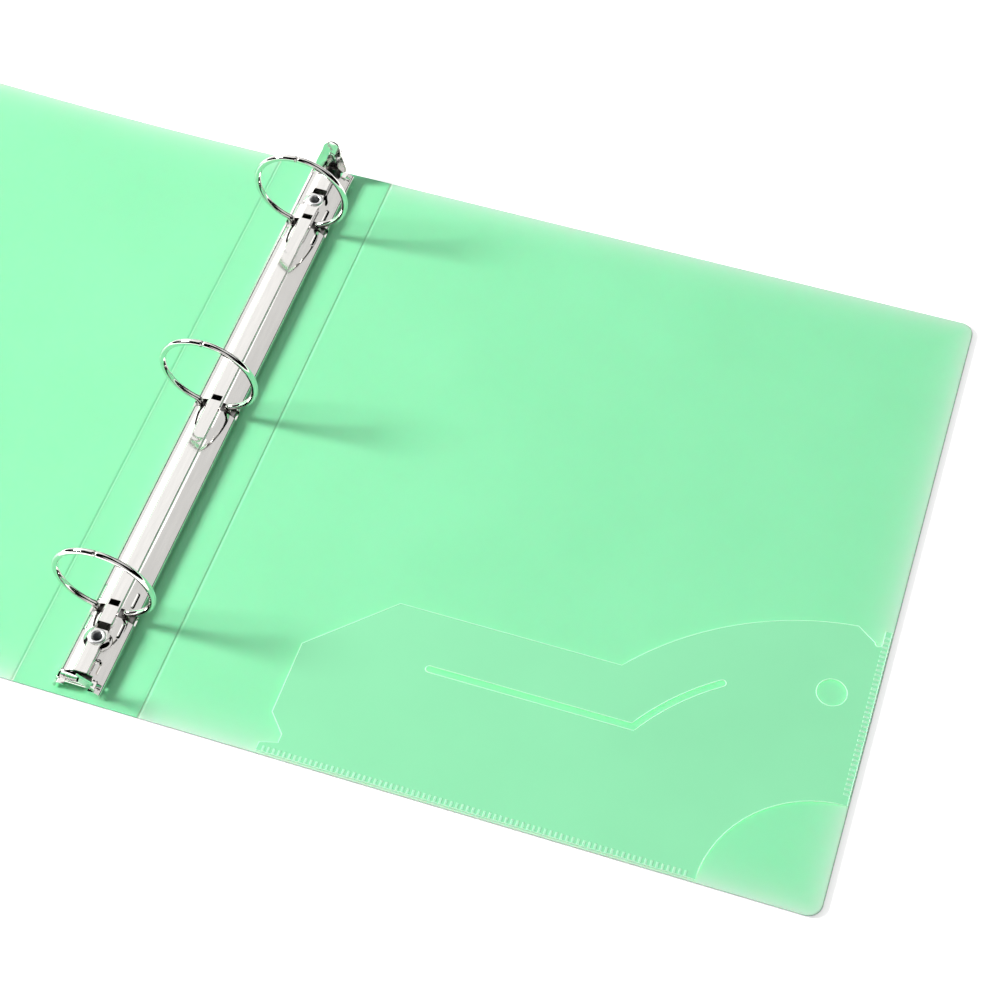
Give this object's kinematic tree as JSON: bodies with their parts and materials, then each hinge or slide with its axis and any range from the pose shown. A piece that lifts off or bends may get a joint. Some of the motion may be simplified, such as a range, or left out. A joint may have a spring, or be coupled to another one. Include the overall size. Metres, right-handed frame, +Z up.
{
  "type": "ring binder",
  "caption": "Ring binder lying open: flexible plastic sheet cover with creased spine, film pocket inside the back cover, and a riveted sheet-steel ring mechanism with end triggers.",
  "frame": {"origin": "on the table under the middle of the spine, the binder lying open on its back", "axes": "+X across the spine towards the back cover, +Y up the spine towards the top edge, +Z up from the table"},
  "size_m": [0.6004, 0.2953, 0.0515],
  "materials": {
    "sheet": "satin, translucent polypropylene",
    "film": "satin, translucent",
    "sleeve": "clear gloss",
    "nickel": "polished nickel plate",
    "rivet": "polished nickel plate",
    "rail_steel": "satin"
  },
  "bodies": {
    "spine": {"spine_panel": "sheet", "spine_label_sleeve": "sleeve", "ring_housing": "nickel", "top_rivet": "rivet", "bottom_rivet": "rivet", "top_rivet_cap": "rivet", "bottom_rivet_cap": "rivet"},
    "front_cover": {"front_cover": "sheet"},
    "back_cover": {"back_cover": "sheet", "back_pocket_film": "film", "pocket_bottom_weld": "film", "pocket_side_weld": "film"},
    "left_ring_bar": {"left_rail": "rail_steel", "top_ring_left": "nickel", "middle_ring_left": "nickel", "bottom_ring_left": "nickel"},
    "right_ring_bar": {"right_rail": "rail_steel", "top_ring_right": "nickel", "middle_ring_right": "nickel", "bottom_ring_right": "nickel"},
    "top_trigger": {"top_trigger": "nickel"},
    "bottom_trigger": {"bottom_trigger": "nickel"}
  },
  "joints": [
    {"name": "front_cover_hinge", "type": "hinge", "parent": "spine", "child": "front_cover", "pos_m": [-0.02725, 0, 0.001], "axis": [0, 1, 0], "range_deg": [0, 88]},
    {"name": "back_cover_hinge", "type": "hinge", "parent": "spine", "child": "back_cover", "pos_m": [0.02725, 0, 0.001], "axis": [0, -1, 0], "range_deg": [0, 88]},
    {"name": "right_rings", "type": "hinge", "parent": "spine", "child": "right_ring_bar", "pos_m": [0.0086, -0.001, 0.0046], "axis": [0, 1, 0], "range_deg": [0, 10]},
    {"name": "left_rings", "type": "hinge", "parent": "spine", "child": "left_ring_bar", "pos_m": [-0.0086, -0.001, 0.0046], "axis": [0, -1, 0], "range_deg": [0, 10]},
    {"name": "top_trigger_hinge", "type": "hinge", "parent": "spine", "child": "top_trigger", "pos_m": [0, 0.14, 0.0049], "axis": [-1, 0, 0], "range_deg": [0, 24]},
    {"name": "bottom_trigger_hinge", "type": "hinge", "parent": "spine", "child": "bottom_trigger", "pos_m": [0, -0.142, 0.0049], "axis": [1, 0, 0], "range_deg": [0, 24]}
  ],
  "couplings": [
    {"joint": "left_rings", "follows": "right_rings", "ratio": 1},
    {"joint": "top_trigger_hinge", "follows": "right_rings", "ratio": 2.4},
    {"joint": "bottom_trigger_hinge", "follows": "right_rings", "ratio": 2.4}
  ]
}
